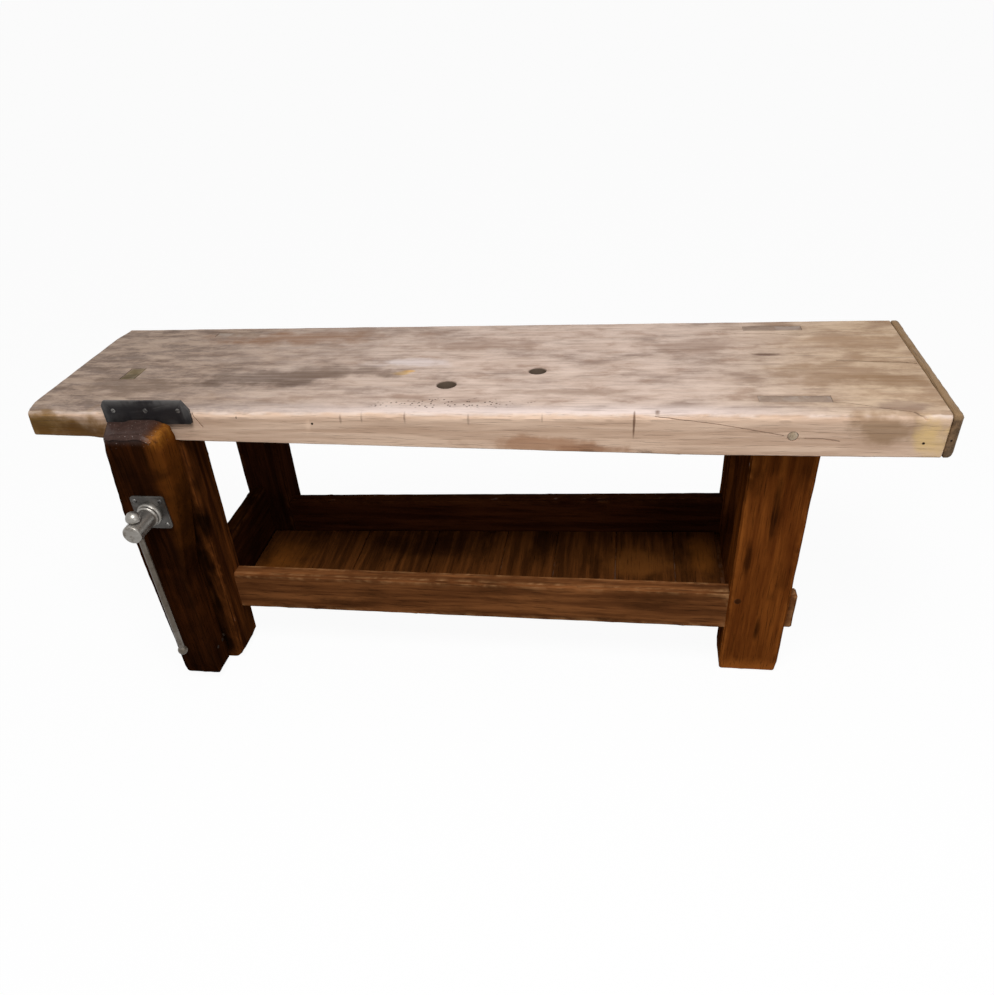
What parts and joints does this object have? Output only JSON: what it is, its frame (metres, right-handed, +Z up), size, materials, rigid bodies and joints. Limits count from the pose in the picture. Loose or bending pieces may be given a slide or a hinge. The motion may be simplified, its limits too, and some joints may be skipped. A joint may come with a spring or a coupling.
{
  "type": "woodworking bench",
  "caption": "Old joiner's bench: thick worn top with holdfast holes and a planing stop, dark pegged base with a shelf, and a leg vise with screw, tommy bar and parallel guide.",
  "frame": {"origin": "on the floor, under the middle of the bench's whole outline", "axes": "+X along the bench to the right as seen from the vise side, +Y from the vise side to the back, +Z up"},
  "size_m": [2.018, 0.714, 0.773],
  "materials": {
    "pale_wood": "bare, worn, waxed",
    "grey_wood": "bare, dark with age",
    "dark_wood": "varnished, satin",
    "dark_iron": "dark, rubbed",
    "black_plate": "blackened",
    "worn_steel": "worn, dull"
  },
  "bodies": {
    "bench": {"bench_top": "pale_wood", "top_end_cap": "grey_wood", "cap_nails": "dark_iron", "vise_leg": "dark_wood", "front_right_leg": "dark_wood", "back_left_leg": "dark_wood", "back_right_leg": "dark_wood", "front_rail": "dark_wood", "back_rail": "dark_wood", "left_side_rail": "dark_wood", "right_side_rail": "dark_wood", "front_ledger": "dark_wood", "back_ledger": "dark_wood", "ledger_nails": "dark_iron", "shelf_board_1": "dark_wood", "shelf_board_2": "dark_wood", "shelf_board_3": "dark_wood", "shelf_board_4": "dark_wood", "shelf_board_5": "dark_wood", "shelf_board_6": "dark_wood", "shelf_board_7": "dark_wood", "top_pegs": "pale_wood", "rail_pegs": "dark_wood", "side_rail_pegs": "dark_wood", "jaw_plate": "black_plate", "jaw_plate_screws": "black_plate", "vise_nut": "dark_iron", "nut_screws": "dark_iron"},
    "chop": {"vise_chop": "dark_wood", "screw_flange": "dark_iron", "flange_screws": "dark_iron", "parallel_guide": "dark_wood", "guide_nails": "dark_iron"},
    "screw": {"vise_screw": "worn_steel", "thrust_collar": "worn_steel"},
    "tommy_bar": {"tommy_bar": "worn_steel", "bar_knob": "worn_steel", "bar_ball": "worn_steel"},
    "stop": {"planing_stop": "grey_wood"},
    "guide_pin": {"guide_pin": "worn_steel"}
  },
  "joints": [
    {"name": "vise_slide", "type": "slide", "parent": "bench", "child": "chop", "axis": [0, -1, 0], "range_m": [0, 0.104]},
    {"name": "screw_turn", "type": "hinge", "parent": "chop", "child": "screw", "pos_m": [-0.703, -0.357, 0.54], "axis": [0, -1, 0], "range_deg": [0, 4680]},
    {"name": "bar_slide", "type": "slide", "parent": "screw", "child": "tommy_bar", "axis": [0, 0, 1], "range_m": [0, 0.327]},
    {"name": "stop_slide", "type": "slide", "parent": "bench", "child": "stop", "axis": [0, 0, 1], "range_m": [0, 0.08]},
    {"name": "pin_slide", "type": "slide", "parent": "chop", "child": "guide_pin", "axis": [-1, 0, 0], "range_m": [0, 0.05]}
  ],
  "couplings": [
    {"joint": "vise_slide", "follows": "screw_turn", "m_per_rad": 0.0012732}
  ]
}
